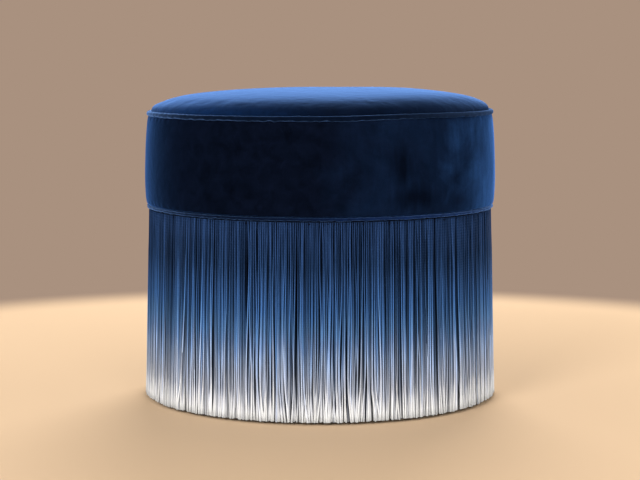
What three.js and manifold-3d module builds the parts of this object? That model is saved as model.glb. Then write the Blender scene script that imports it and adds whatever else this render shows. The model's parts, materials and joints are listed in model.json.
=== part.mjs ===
// A round upholstered tuffet: a velvet cushion with piped edges on a wooden drum that a long fringe hides.
// Millimetres, +Z up. The origin is on the floor, in the middle of the base, and the front faces -Y.

import * as THREE from "three";
import { mergeVertices } from "three/addons/utils/BufferGeometryUtils.js";
import Module from "manifold-3d";

const wasm = await Module();
wasm.setup();

// Sizes that every piece shares
const clearance = 0.3; // between pieces that touch
const cutOverrun = 1; // how far a cut runs past what it cuts
const roundSteps = 40; // facets round the drum and everything wrapped on it
const glideSteps = 16;
const screwSteps = 8;
const domeSteps = 6; // from the rim of a cushion layer to its crest
const pipingSteps = 8;

// Wooden frame
const drumRadius = 213; // outside of the bent hardboard
const wrapThickness = 3;
const wrapSeam = 1; // open joint where the hardboard's ends meet
const boardThickness = 15; // plywood of the base and the seat
const railThickness = 18;
const railWidth = 44.7;
const railWall = 15.4; // wood left outside a post's notch
const postWidth = 38;

// Velvet cushion
const velvetThickness = 1.2;
const bandHeight = 112.6; // the boxing strip, between the two pipings
const bandBulge = 3.7; // how far the strip swells between its seams
const bandTaper = 2.9; // how much smaller the strip's radius is at the top seam
const bandFullness = 3; // power of the swelling, higher is squarer
const bandShares = [0, 0.08, 0.27, 0.5, 0.73, 0.92, 1]; // heights at which the strip's outline has a point
const crownHeight = 30.6; // from the top panel's edge to its crest
const crownPower = 0.85; // 1 is an ellipse, lower is flatter on top
const crownEdgeTurn = THREE.MathUtils.degToRad(40); // how far the top panel wraps up round the piping
const seamAllowance = 6.3; // how far the sewn edges reach in from the piping
const waddingThickness = 10;
const seatFoamEdge = 29; // thickness of the seat foam at its rim

// Pipings
const topPipingRadius = 3.25;
const topPipingProud = 2.6; // how far it stands out from the strip's top edge
const lowerPipingRadius = 2.6;
const pipingFlange = 0.8; // thickness of a piping's sewn tail
const lowerFlangeHeight = 9;
const lowerTailTurn = THREE.MathUtils.degToRad(23); // from straight inwards to where cord and tail meet

// Fringe
const fringeTipHeight = 4; // between the cut ends and the floor
const fringeDrop = 235; // length of a strand below its head
const fringeFlare = 5.9; // how much further out the cut ends hang
const headHeight = 15; // the woven head's tape
const headThickness = 2;
const headLip = 3.1; // height of the thick edge that the strands leave
const strandRadius = 1.6;
const strandSides = 3;
const strandTipShare = 0.85; // width of a cut end, as a share of the width at the head
const strandsPerRow = 176; // round the whole tuffet, in each of the two rows
const rowOffsetShares = [0.25, 0.75]; // where each row's strands stand, of the step between them
const rowGap = 0.4; // between the rows, and behind them in the head
const lipMargin = 0.9; // head left in front of the outer row, where its facets are flattest
const clumpShift = 1.8; // how far cut ends gather sideways
const clumpCount = 32;
const fineClumpShift = 0.8;
const fineClumpCount = 52;
const tipRaggedness = 1.6; // how much the cut ends differ in height
const tipPhase = 2.4; // radians from one strand's height to the next

// Linings
const liningThickness = 0.7;
const dustCoverThickness = 0.5;
const dustCoverInset = 2; // from the drum's outside

// Glides and screws
const glideHeight = 5;
const glideRadius = 14;
const glideChamfer = 1.5;
const glideInset = 34.7; // from the base board's edge to a glide's middle
const glideScrew = { length: 18, radius: 1.75, headRadius: 3.8, sink: 0.8 };
const frameScrew = { length: 50, radius: 2, headRadius: 4, sink: 0.3 };
const railScrew = { length: 40, radius: 2, headRadius: 4, sink: 0.3 };
const screwPointShare = 0.12; // share of the length that the point takes
const recessDepth = 1.2;
const recessReachShare = 0.62; // of the head's radius, to the tip of an arm
const recessWaistShare = 0.22; // of the head's radius, between two arms

// Radii, from the drum outwards
const boardRadius = drumRadius - wrapThickness - clearance;
const liningInner = drumRadius + clearance;
const headInner = liningInner + liningThickness + clearance;
const headOuter = headInner + headThickness;
const strandInset = strandRadius * Math.cos(Math.PI / strandSides); // a strand's flat side, from its middle
const innerRow = headInner + rowGap + strandInset;
const outerRow = innerRow + strandRadius + rowGap + strandInset;
const lipOuter = outerRow + strandRadius + lipMargin;
const lowerFlangeInner = headOuter + clearance;
const lowerFlangeOuter = lowerFlangeInner + pipingFlange;
const lowerPipingMiddle = lowerFlangeOuter + lowerPipingRadius;
const bandBottomRadius = lowerPipingMiddle + lowerPipingRadius;
const turnInRadius = lowerFlangeOuter + clearance * 2; // inner edge of the strip's lower turn-in
const bandTopRadius = bandBottomRadius - bandTaper;
const topPipingMiddle = bandTopRadius + topPipingProud - topPipingRadius;
const seamInner = topPipingMiddle - topPipingRadius - seamAllowance;
const panelHug = (topPipingRadius + clearance) / Math.cos(crownEdgeTurn / 2); // corners of the wrap
const panelSide = topPipingMiddle - panelHug;
const crownRadius = topPipingMiddle - panelHug * Math.cos(crownEdgeTurn);
const postMiddle = boardRadius - railWall - clearance - postWidth / 2;
const railInner = boardRadius - railWidth;
const foamRadius = seamInner - clearance;
const glideMiddle = boardRadius - glideInset;

// Heights, from the floor up
const dustCoverBottom = glideHeight;
const baseBottom = dustCoverBottom + dustCoverThickness;
const baseTop = baseBottom + boardThickness;
const headBottom = fringeTipHeight + fringeDrop;
const headTop = headBottom + headHeight;
const lipTop = headBottom + headLip;
const lowerPipingHeight = lipTop + clearance + lowerPipingRadius;
const lowerFlangeTop = lowerPipingHeight + lowerFlangeHeight;
const bandBottom = lowerPipingHeight + lowerPipingRadius + clearance;
const bandTop = bandBottom + bandHeight;
const topPipingHeight = bandTop + clearance + topPipingRadius;
const topFlangeBottom = bandTop + clearance * 2;
const topFlangeTop = topFlangeBottom + pipingFlange;
const panelSeamBottom = topFlangeTop + clearance;
const panelSeamTop = panelSeamBottom + velvetThickness;
const crownEdgeHeight = topPipingHeight + panelHug * Math.sin(crownEdgeTurn);
const crest = crownEdgeHeight + crownHeight;
const foamSideTop = bandTop - velvetThickness - clearance;
const foamCrest = crest - velvetThickness - waddingThickness - clearance * 2;
const seatTop = foamSideTop - seatFoamEdge;
const seatBottom = seatTop - boardThickness;
const railBottom = (headBottom + headTop - railThickness) / 2;

// Colours and finishes
const velvet = finish(0x0b1f4a, 0.85);
const fringeYarn = finish(0x3f63a4, 0.7);
const blackCloth = finish(0x0d1018, 0.95);
const nonWoven = finish(0x17181b, 0.95);
const plywood = finish(0xc9a777, 0.7);
const pine = finish(0xd8b98a, 0.7);
const hardboard = finish(0x6b4a30, 0.8);
const foam = finish(0xe9e2c8, 0.95);
const wadding = finish(0xf3f3ef, 0.98);
const glidePlastic = finish(0x1c1c1e, 0.5);
const zincSteel = finish(0xb9bcc0, 0.35, 0.9);

function finish(color, roughness, metalness = 0) {
  return new THREE.MeshStandardMaterial({ color, roughness, metalness });
}

// An outline of [radius, height] points turned about the Z axis.
function revolve(outline, steps = roundSteps) {
  const points = outline.map(([radius, height]) => new THREE.Vector2(radius, height));
  const onAxis = points[0].x === 0;
  if (THREE.ShapeUtils.area(points) < 0) points.reverse();
  if (!onAxis) points.push(points[0].clone());
  return new THREE.LatheGeometry(points, steps).rotateX(Math.PI / 2);
}

// An outline that crosses the axis twice in its middle, started from its upper crest instead.
function revolveFromCrest(outline) {
  const after = outline.findIndex(([radius]) => radius === 0) + 1;
  return revolve([...outline.slice(after), ...outline.slice(0, after)]);
}

// A ring of rectangular section, or a disc where its inner radius is zero.
function ring(inner, outer, bottom, top) {
  return revolve([[inner, bottom], [outer, bottom], [outer, top], [inner, top]]);
}

function box(low, high) {
  const size = high.map((value, axis) => value - low[axis]);
  const middle = high.map((value, axis) => (value + low[axis]) / 2);
  return new THREE.BoxGeometry(...size).translate(...middle);
}

// A closed geometry as a solid for cutting and joining.
function solidOf(geometry) {
  const bare = geometry.clone();
  bare.deleteAttribute("normal");
  bare.deleteAttribute("uv");
  const merged = mergeVertices(bare);
  return new wasm.Manifold(
    new wasm.Mesh({
      numProp: 3,
      vertProperties: merged.attributes.position.array,
      triVerts: new Uint32Array(merged.index.array),
    }),
  );
}

function geometryOf(solid) {
  const made = solid.getMesh();
  const geometry = new THREE.BufferGeometry();
  geometry.setAttribute("position", new THREE.BufferAttribute(made.vertProperties, 3));
  geometry.setIndex(new THREE.BufferAttribute(made.triVerts, 1));
  const flat = geometry.toNonIndexed();
  flat.computeVertexNormals();
  return flat;
}

function cut(geometry, tools) {
  return geometryOf(tools.reduce((solid, tool) => solid.subtract(solidOf(tool)), solidOf(geometry)));
}

const upwards = new THREE.Vector3(0, 0, 1);
const tuffet = new THREE.Group();

function add(name, geometry, material) {
  const mesh = new THREE.Mesh(geometry, material);
  mesh.name = name;
  tuffet.add(mesh);
  return mesh;
}

// Where things stand round the tuffet: posts on the axes, glides between them
const sides = [
  { name: "front", x: 0, y: -1 },
  { name: "right", x: 1, y: 0 },
  { name: "back", x: 0, y: 1 },
  { name: "left", x: -1, y: 0 },
];
const corners = [
  { name: "front_left", x: -Math.SQRT1_2, y: -Math.SQRT1_2 },
  { name: "front_right", x: Math.SQRT1_2, y: -Math.SQRT1_2 },
  { name: "back_right", x: Math.SQRT1_2, y: Math.SQRT1_2 },
  { name: "back_left", x: -Math.SQRT1_2, y: Math.SQRT1_2 },
];

// A countersunk screw with its head's face at the origin and its point up +Z.
function screwGeometry(size) {
  const { length, radius, headRadius } = size;
  const outline = [
    [0, 0],
    [headRadius, 0],
    [radius, headRadius - radius],
    [radius, length * (1 - screwPointShare)],
    [0, length],
  ];
  return cut(revolve(outline, screwSteps), [crossRecess(headRadius)]);
}

// A four-armed star, sunk in a screw's head.
function crossRecess(headRadius) {
  const points = Array.from({ length: 8 }, (_, point) => {
    const out = headRadius * (point % 2 ? recessWaistShare : recessReachShare);
    const turn = (point / 8) * Math.PI * 2;
    return new THREE.Vector2(out * Math.cos(turn), out * Math.sin(turn));
  });
  const depth = recessDepth + cutOverrun;
  const star = new THREE.ExtrudeGeometry(new THREE.Shape(points), { depth, bevelEnabled: false });
  return star.translate(0, 0, -cutOverrun);
}

// The hole that the same screw needs, open past its head.
function screwHole(size) {
  const { length, radius, headRadius, sink } = size;
  const wide = (headRadius + clearance) / Math.cos(Math.PI / screwSteps);
  const narrow = (radius + clearance) / Math.cos(Math.PI / screwSteps);
  const end = length + clearance;
  const outline = [
    [0, -sink - cutOverrun],
    [wide, -sink - cutOverrun],
    [wide, 0],
    [narrow, wide - narrow],
    [narrow, end],
    [0, end],
  ];
  return revolve(outline, screwSteps);
}

// The place of a screw whose head's face is at a point and which points along a direction.
function aim(point, direction) {
  const turn = new THREE.Quaternion().setFromUnitVectors(upwards, direction);
  return new THREE.Matrix4().compose(point, turn, new THREE.Vector3(1, 1, 1));
}

function addScrew(name, size, place) {
  const screw = add(name, screwGeometry(size), zincSteel);
  place.decompose(screw.position, screw.quaternion, screw.scale);
}

function screwPlaces() {
  const downwards = upwards.clone().negate();
  const railMiddle = railBottom + railThickness / 2;
  const railFace = boardRadius - railScrew.sink;
  const places = { base: {}, seat: {}, rail: {}, glide: {} };
  for (const { name, x, y } of sides) {
    const inwards = new THREE.Vector3(-x, -y, 0);
    const foot = new THREE.Vector3(x * postMiddle, y * postMiddle, baseBottom + frameScrew.sink);
    const head = new THREE.Vector3(x * postMiddle, y * postMiddle, seatTop - frameScrew.sink);
    const rim = new THREE.Vector3(x * railFace, y * railFace, railMiddle);
    places.base[name] = aim(foot, upwards);
    places.seat[name] = aim(head, downwards);
    places.rail[name] = aim(rim, inwards);
  }
  for (const { name, x, y } of corners) {
    const foot = new THREE.Vector3(x * glideMiddle, y * glideMiddle, glideScrew.sink);
    places.glide[name] = aim(foot, upwards);
  }
  return places;
}

const places = screwPlaces();

function holes(size, kind) {
  return Object.values(places[kind]).map((place) => screwHole(size).applyMatrix4(place));
}

// Wooden frame
function addFrame() {
  const base = ring(0, boardRadius, baseBottom, baseTop);
  const seat = ring(0, boardRadius, seatBottom, seatTop);
  add("base_board", cut(base, [...holes(frameScrew, "base"), ...holes(glideScrew, "glide")]), plywood);
  add("seat_board", cut(seat, holes(frameScrew, "seat")), plywood);
  addRail();
  for (const side of sides) addPost(side);
  for (const { name } of sides) {
    addScrew(`base_screw_${name}`, frameScrew, places.base[name]);
    addScrew(`seat_screw_${name}`, frameScrew, places.seat[name]);
    addScrew(`rail_screw_${name}`, railScrew, places.rail[name]);
  }
  addWrap();
}

// The ring that the fringe and the cushion's lower edge are stapled to, notched round the posts.
function addRail() {
  const half = postWidth / 2 + clearance;
  const far = postMiddle + half;
  const bottom = railBottom - cutOverrun;
  const top = railBottom + railThickness + cutOverrun;
  const notches = [
    box([-far, -half, bottom], [far, half, top]),
    box([-half, -far, bottom], [half, far, top]),
  ];
  const blank = ring(railInner, boardRadius, railBottom, railBottom + railThickness);
  add("middle_rail", cut(blank, [...notches, ...holes(railScrew, "rail")]), plywood);
}

function addPost({ name, x, y }) {
  const half = postWidth / 2;
  const post = box([-half, -half, baseTop], [half, half, seatBottom]);
  post.translate(x * postMiddle, y * postMiddle, 0);
  const tools = [
    screwHole(frameScrew).applyMatrix4(places.base[name]),
    screwHole(frameScrew).applyMatrix4(places.seat[name]),
    screwHole(railScrew).applyMatrix4(places.rail[name]),
  ];
  add(`post_${name}`, cut(post, tools), pine);
}

// Hardboard bent round the boards, its ends meeting at the back.
function addWrap() {
  const tube = ring(drumRadius - wrapThickness, drumRadius, baseBottom, seatTop);
  const seam = box(
    [-wrapSeam / 2, 0, baseBottom - cutOverrun],
    [wrapSeam / 2, drumRadius + cutOverrun, seatTop + cutOverrun],
  );
  add("drum_wrap", cut(tube, [seam]), hardboard);
}

// Linings: black cloth behind the fringe, and non-woven cloth under the base
function addLinings() {
  add("drum_lining", ring(liningInner, liningInner + liningThickness, baseBottom, headTop), blackCloth);
  const disc = ring(0, drumRadius - dustCoverInset, dustCoverBottom, baseBottom);
  add("dust_cover", cut(disc, holes(glideScrew, "glide")), nonWoven);
}

// Glides under the base, each held by a screw from below
function addGlides() {
  const outline = [
    [0, 0],
    [glideRadius - glideChamfer, 0],
    [glideRadius, glideChamfer],
    [glideRadius, glideHeight],
    [0, glideHeight],
  ];
  for (const { name, x, y } of corners) {
    const blank = revolve(outline, glideSteps).translate(x * glideMiddle, y * glideMiddle, 0);
    const hole = screwHole(glideScrew).applyMatrix4(places.glide[name]);
    add(`glide_${name}`, cut(blank, [hole]), glidePlastic);
    addScrew(`glide_screw_${name}`, glideScrew, places.glide[name]);
  }
}

// Points of a flattened dome, from its rim up to its crest on the axis.
function dome(radius, base, top) {
  return Array.from({ length: domeSteps + 1 }, (_, step) => {
    const turn = (step / domeSteps) * (Math.PI / 2);
    const out = step === domeSteps ? 0 : radius * Math.cos(turn);
    return [out, base + (top - base) * Math.sin(turn) ** crownPower];
  });
}

// The boxing strip's outside radius at a share of its height.
function bandRadiusAt(share) {
  const straight = THREE.MathUtils.lerp(bandBottomRadius, bandTopRadius, share);
  return straight + bandBulge * (1 - Math.abs(share * 2 - 1) ** bandFullness);
}

// One face of the boxing strip, a given depth in from the velvet's face.
function bandFace(depth, bottom, top) {
  return bandShares.map((share) => {
    const height = THREE.MathUtils.lerp(bottom, top, share);
    return [bandRadiusAt((height - bandBottom) / bandHeight) - depth, height];
  });
}

// Velvet top panel: a crowned disc that turns down beside the piping and in with the seam
function addTopPanel() {
  const depth = velvetThickness;
  const outline = [
    [seamInner, panelSeamTop],
    [seamInner, panelSeamBottom],
    [panelSide, panelSeamBottom],
    [panelSide, topPipingHeight],
    ...dome(crownRadius, crownEdgeHeight, crest),
    ...dome(crownRadius - depth, crownEdgeHeight, crest - depth).reverse(),
    [panelSide - depth, topPipingHeight],
    [panelSide - depth, panelSeamTop],
  ];
  add("top_panel", revolveFromCrest(outline), velvet);
}

// Velvet boxing strip, turned in under the top seam and above the lower piping
function addBandCover() {
  const depth = velvetThickness;
  const outline = [
    [turnInRadius, bandBottom],
    ...bandFace(0, bandBottom, bandTop),
    [seamInner, bandTop],
    [seamInner, bandTop - depth],
    ...bandFace(depth, bandBottom + depth, bandTop - depth).reverse(),
    [turnInRadius, bandBottom + depth],
  ];
  add("band_cover", revolve(outline), velvet);
}

// Points round a piping's cord, from one angle to another.
function cordArc(middle, height, radius, from, to) {
  return Array.from({ length: pipingSteps + 1 }, (_, step) => {
    const turn = THREE.MathUtils.lerp(from, to, step / pipingSteps);
    return [middle + radius * Math.cos(turn), height + radius * Math.sin(turn)];
  });
}

// Velvet-covered cord with a sewn tail that reaches in between the strip and the top panel
function addTopPiping() {
  const from = Math.asin((topPipingHeight - topFlangeBottom) / topPipingRadius) - Math.PI;
  const to = Math.asin((topPipingHeight - topFlangeTop) / topPipingRadius) + Math.PI;
  const cord = cordArc(topPipingMiddle, topPipingHeight, topPipingRadius, from, to);
  add("top_piping", revolve([...cord, [seamInner, topFlangeTop], [seamInner, topFlangeBottom]]), velvet);
}

// The same, with its tail standing up behind the strip
function addLowerPiping() {
  const turn = Math.PI - lowerTailTurn;
  const cord = cordArc(lowerPipingMiddle, lowerPipingHeight, lowerPipingRadius, -turn, turn);
  const tail = [
    [lowerFlangeOuter, lowerFlangeTop],
    [lowerFlangeInner, lowerFlangeTop],
    [lowerFlangeInner, lowerPipingHeight],
  ];
  add("lower_piping", revolve([...cord, ...tail]), velvet);
}

// Foam block under the crown, its shoulder holding the seam
function addSeatFoam() {
  const block = [[0, seatTop], [drumRadius, seatTop], [drumRadius, foamSideTop]];
  add("seat_foam", revolve([...block, ...dome(foamRadius, foamSideTop, foamCrest)]), foam);
}

// Wadding fills the lens between the foam's crown and the top panel, down to the sewn edges.
function addWadding() {
  const depth = velvetThickness + clearance;
  const floor = panelSeamTop + clearance;
  const over = dome(crownRadius - depth, crownEdgeHeight, crest - depth);
  const under = dome(foamRadius - clearance, foamSideTop + clearance, foamCrest + clearance);
  const outline = [
    [foamRadius - clearance, floor],
    [panelSide - depth, floor],
    ...over,
    ...under.filter(([, height]) => height > floor).reverse(),
  ];
  add("seat_wadding", revolveFromCrest(outline), wadding);
}

// A foam strip round the drum, thinner where it laps the fringe's head.
function addBandFoam() {
  const depth = velvetThickness + clearance;
  const stepTop = Math.max(headTop, lowerFlangeTop) + clearance;
  const outline = [
    [turnInRadius, bandBottom + depth],
    ...bandFace(depth, bandBottom + depth, bandTop - depth),
    [drumRadius + clearance, bandTop - depth],
    [drumRadius + clearance, stepTop],
    [turnInRadius, stepTop],
  ];
  add("band_foam", revolve(outline), foam);
}

// A three-sided cord with an edge facing out, from inside the head down to its cut end.
function addStrand(positions, triangles, angle, row, count) {
  const first = positions.length / 3;
  const gather = clumpShift * Math.sin(clumpCount * angle);
  const fineGather = fineClumpShift * Math.sin(fineClumpCount * angle);
  const ragged = (tipRaggedness * (1 + Math.sin(count * tipPhase))) / 2;
  const head = new THREE.Vector3(row, 0, headBottom + headLip / 2);
  const tip = new THREE.Vector3(row + fringeFlare, gather + fineGather, fringeTipHeight + ragged);
  for (const [end, radius] of [[head, strandRadius], [tip, strandRadius * strandTipShare]]) {
    for (let side = 0; side < strandSides; side++) {
      const turn = (side / strandSides) * Math.PI * 2;
      const corner = new THREE.Vector3(radius * Math.cos(turn), radius * Math.sin(turn), 0);
      positions.push(...corner.add(end).applyAxisAngle(upwards, angle));
    }
  }
  const [a, b, c, d, e, f] = [0, 1, 2, 3, 4, 5].map((corner) => first + corner);
  triangles.push(a, b, c, f, e, d, a, d, e, a, e, b, b, e, f, b, f, c, c, f, d, c, d, a);
}

// Both rows of strands round one quarter of the tuffet, from the angle where it starts.
function quarterOfStrands(start) {
  const positions = [];
  const triangles = [];
  const perQuarter = strandsPerRow / 4;
  const step = Math.PI / 2 / perQuarter;
  for (const [index, row] of [innerRow, outerRow].entries()) {
    for (let count = 0; count < perQuarter; count++) {
      const angle = start + (count + rowOffsetShares[index]) * step;
      addStrand(positions, triangles, angle, row, count);
    }
  }
  const geometry = new THREE.BufferGeometry();
  geometry.setAttribute("position", new THREE.Float32BufferAttribute(positions, 3));
  geometry.setIndex(triangles);
  return geometry;
}

// The fringe hangs from its woven head in quarters.
function addFringe() {
  const head = solidOf(
    revolve([
      [headInner, headBottom],
      [lipOuter, headBottom],
      [lipOuter, lipTop],
      [headOuter, lipTop],
      [headOuter, headTop],
      [headInner, headTop],
    ]),
  );
  const near = clearance / 2;
  const far = lipOuter + cutOverrun;
  for (const { name, x, y } of sides) {
    const start = Math.atan2(y, x) - Math.PI / 4;
    const quarter = box([near, near, headBottom - cutOverrun], [far, far, headTop + cutOverrun]);
    const slice = head.intersect(solidOf(quarter.rotateZ(start)));
    const strands = solidOf(quarterOfStrands(start));
    add(`fringe_${name}`, geometryOf(slice.add(strands)), fringeYarn);
  }
}

addFrame();
addLinings();
addGlides();
addSeatFoam();
addWadding();
addBandFoam();
addTopPanel();
addBandCover();
addTopPiping();
addLowerPiping();
addFringe();

export default tuffet;
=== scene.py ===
# A round velvet tuffet with a dip-dyed fringe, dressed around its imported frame.
# Metres, +Z up, the front faces -Y.

import json
import math
import random

import bmesh
import bpy
from mathutils import Matrix, Vector, noise

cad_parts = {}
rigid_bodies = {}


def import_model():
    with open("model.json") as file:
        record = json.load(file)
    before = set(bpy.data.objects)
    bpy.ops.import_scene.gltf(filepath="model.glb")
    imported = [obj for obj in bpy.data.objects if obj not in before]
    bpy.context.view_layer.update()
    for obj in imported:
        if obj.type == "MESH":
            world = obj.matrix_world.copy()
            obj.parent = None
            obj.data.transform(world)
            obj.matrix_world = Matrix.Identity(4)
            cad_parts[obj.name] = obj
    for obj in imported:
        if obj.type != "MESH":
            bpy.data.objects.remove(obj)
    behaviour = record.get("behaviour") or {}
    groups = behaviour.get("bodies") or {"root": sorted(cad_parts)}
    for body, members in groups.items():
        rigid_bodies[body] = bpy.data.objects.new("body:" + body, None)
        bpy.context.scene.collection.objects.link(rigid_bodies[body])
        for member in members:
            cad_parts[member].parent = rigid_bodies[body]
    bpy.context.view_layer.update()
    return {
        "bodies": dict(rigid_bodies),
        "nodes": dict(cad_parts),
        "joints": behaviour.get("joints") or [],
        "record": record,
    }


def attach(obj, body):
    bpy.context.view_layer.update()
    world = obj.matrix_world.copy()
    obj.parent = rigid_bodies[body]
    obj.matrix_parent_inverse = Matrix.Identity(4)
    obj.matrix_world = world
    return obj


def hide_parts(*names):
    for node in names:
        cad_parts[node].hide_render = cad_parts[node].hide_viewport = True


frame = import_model()
scene = bpy.context.scene
mm = 0.001
fullTurn = 2 * math.pi
print("frame loaded:", len(frame["nodes"]), "nodes")


# Camera and room

view = {
    "lens": 102.6,  # on a 36 mm sensor
    "place": (0, -2.352, 0.444),
    "tilt": 5.97,  # degrees below level
}

# A round studio cove: a pale floor that turns up into a plain wall, the same from every side.
cove = {
    "floor": "#d6b897",
    "wall": "#a9917f",
    "bounce": "#cfccc8",  # what the object sees of it, kept neutral
    "paleTo": 0.86,  # the floor is palest round the tuffet
    "wallFrom": 1.06,
    "radius": 4.0,
    "bend": 0.6,
    "height": 2.6,
}

lamps = [
    {"name": "window", "at": (-1.6, -3.0, 1.9), "to": (0, 0, 0.2), "size": 1.4, "power": 80},
    {"name": "fill", "at": (0.8, -3.0, 0.8), "to": (0, 0, 0.2), "size": 1.6, "power": 42},
    {"name": "rear", "at": (0.3, 2.5, 2.0), "to": (0, 0, 0.35), "size": 1.8, "power": 100},
]

skyLevel = 0.55


def linear(code):
    parts = [int(code[i : i + 2], 16) / 255 for i in (1, 3, 5)]
    return [p / 12.92 if p <= 0.04045 else ((p + 0.055) / 1.055) ** 2.4 for p in parts] + [1]


# Settings are the node's own; links fill its inputs, with a value or with another node or socket.
# Stops are for a colour ramp: position and hex colour.
def addNode(tree, kind, links=None, stops=None, **settings):
    node = tree.nodes.new("ShaderNode" + kind)
    for name, value in settings.items():
        setattr(node, name, value)
    if stops:
        marks = node.color_ramp.elements
        while len(marks) < len(stops):
            marks.new(0.5)
        for mark, (position, colour) in zip(marks, stops):
            mark.position = position
            mark.color = linear(colour)
    for name, value in (links or {}).items():
        if isinstance(value, bpy.types.Node):
            value = value.outputs[0]
        if isinstance(value, bpy.types.NodeSocket):
            tree.links.new(value, node.inputs[name])
        else:
            node.inputs[name].default_value = value
    return node


def startMaterial(name):
    made = bpy.data.materials.new(name)
    made.use_nodes = True
    made.node_tree.nodes.clear()
    return made, made.node_tree


def finishMaterial(tree, links):
    shader = addNode(tree, "BsdfPrincipled", links)
    addNode(tree, "OutputMaterial", {"Surface": shader})


def addCamera():
    made = bpy.data.objects.new("camera", bpy.data.cameras.new("camera"))
    made.data.lens = view["lens"]
    made.data.sensor_width = 36
    made.location = view["place"]
    made.rotation_euler = (math.radians(90 - view["tilt"]), 0, 0)
    scene.collection.objects.link(made)
    scene.camera = made


def addLamps():
    for lamp in lamps:
        light = bpy.data.lights.new(lamp["name"], "AREA")
        light.shape = "DISK"
        light.size = lamp["size"]
        light.energy = lamp["power"]
        made = bpy.data.objects.new(lamp["name"], light)
        made.location = lamp["at"]
        aim = Vector(lamp["to"]) - Vector(lamp["at"])
        made.rotation_euler = aim.to_track_quat("-Z", "Y").to_euler()
        scene.collection.objects.link(made)


def addSky():
    sky = bpy.data.worlds.new("sky")
    sky.use_nodes = True
    back = sky.node_tree.nodes["Background"]
    back.inputs["Color"].default_value = linear("#f4f4f4")
    back.inputs["Strength"].default_value = skyLevel
    scene.world = sky


def addCove():
    bend = cove["bend"] / mm
    corner = cove["radius"] / mm - bend
    outline = [(0, 0), (300, 0), (1200, 0)] + arc(corner, bend, bend, -90, 0, 12)
    outline.append((cove["radius"] / mm, cove["height"] / mm))
    made = addObject("studioCove", spun(outline, 64, closed=False), covePaint())


# Matt paint, pale and warm on camera and neutral in the light that it gives back.
def covePaint():
    made, tree = startMaterial("matt cove paint")
    place = addNode(tree, "TexCoord").outputs["Object"]
    reach = addNode(tree, "VectorMath", {0: place}, operation="LENGTH").outputs["Value"]
    away = addNode(tree, "MapRange", {0: reach, 1: cove["paleTo"], 2: cove["wallFrom"]}, interpolation_type="SMOOTHSTEP")
    onCamera = addNode(tree, "LightPath").outputs["Is Camera Ray"]
    colour = addNode(
        tree, "Mix", {0: onCamera, 6: linear(cove["bounce"]), 7: linear(cove["floor"])}, data_type="RGBA"
    ).outputs[2]
    painted = addNode(tree, "BsdfDiffuse", {"Color": colour})
    flat = addNode(tree, "Emission", {"Color": linear(cove["wall"])})
    seenWall = addNode(tree, "Math", {0: away, 1: onCamera}, operation="MULTIPLY")
    surface = addNode(tree, "MixShader", {0: seenWall, 1: painted, 2: flat})
    addNode(tree, "OutputMaterial", {"Surface": surface})
    return made


# Making pieces

def addObject(name, bm, material, smooth=True):
    mesh = bpy.data.meshes.new(name)
    bm.to_mesh(mesh)
    bm.free()
    mesh.materials.append(material)
    if smooth:
        mesh.shade_smooth()
    made = bpy.data.objects.new(name, mesh)
    scene.collection.objects.link(made)
    return made


# A closed or open outline of (radius, height) in millimetres, spun about the Z axis.
def spun(outline, steps, closed=True):
    bm = bmesh.new()
    line = [bm.verts.new((0, -radius * mm, height * mm)) for radius, height in outline]
    pairs = list(zip(line, line[1:]))
    if closed:
        pairs.append((line[-1], line[0]))
    edges = [bm.edges.new(pair) for pair in pairs]
    bmesh.ops.spin(
        bm, geom=line + edges, cent=(0, 0, 0), axis=(0, 0, 1), angle=fullTurn, steps=steps, use_merge=True
    )
    bmesh.ops.remove_doubles(bm, verts=bm.verts, dist=1e-6)
    bmesh.ops.recalc_face_normals(bm, faces=bm.faces)
    return bm


def arc(middleR, middleZ, radius, start, end, steps):
    points = []
    for step in range(steps + 1):
        turn = math.radians(start + (end - start) * step / steps)
        points.append((middleR + radius * math.cos(turn), middleZ + radius * math.sin(turn)))
    return points


def smoothStep(low, high, value):
    t = min(1, max(0, (value - low) / (high - low)))
    return t * t * (3 - 2 * t)


# Noise round the drum: size is the length of one swell in millimetres.
def roundNoise(place, size, seed):
    return noise.noise(place / (size * mm) + Vector((seed, seed * 0.37, -seed)))


def pushOut(place, millimetres):
    out = Vector((place.x, place.y, 0))
    if out.length > 1e-6:
        place += out.normalized() * millimetres * mm


# Velvet: a short dense pile, near black where the eye looks into it and bright blue where it is seen side-on.
# Patches and streaks where the pile lies another way and catches more light are painted into its colour as a brighter
# blue: painted sheen, more and more towards one side.
velvetLook = {
    "name": "cotton velvet, painted sheen",
    "deep": "#03050c",
    "pile": "#090f1e",
    # painted sheen: the brighter blue of patches where the pile catches more light
    "paintedSheen": "#2b4f84",
    "sheen": "#578ee4",
    "patch": 70,  # size of a brushed patch in mm
    "streak": 7,
    "tuft": 0.9,  # coarser than the real 0.3 mm pile, so that it shows
    "thumbMarks": [  # middle, and half its width, depth and height, in metres
        ((0.097, -0.204, 0.306), (0.01, 0.02, 0.021)),
        ((0.113, -0.193, 0.269), (0.022, 0.025, 0.012)),
        ((-0.219, 0.03, 0.3), (0.02, 0.009, 0.014)),
        ((0.03, 0.221, 0.31), (0.009, 0.02, 0.016)),
    ],
    "paintedSheenSpan": (0.18, 0.268),  # painted sheen more and more from here to here across the piece, in metres
    "faintPaintedSheen": 0.09,  # share of the painted sheen on the way there
    "gloss": 0.29,  # sheen roughness
    "brush": 0.35,  # height of the swells that strokes leave in the pile, in mm
    "comb": None,
}


# The crown is sat on and stroked: its pile lies over more and more towards the front, most on the right. A brighter
# blue is painted into it more and more towards the left, as painted sheen.
crownLook = {
    **velvetLook,
    "name": "stroked velvet, painted sheen",
    "pile": "#080d18",
    "paintedSheen": "#123365",
    "sheen": "#77a7f5",
    "paintedSheenSpan": (0.12, -0.3),
    "gloss": 0.355,
    "brush": 0.8,
    "comb": (-70, -185),  # how steeply the pile leans over towards the front edge, at the left and at the right
}

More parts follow.
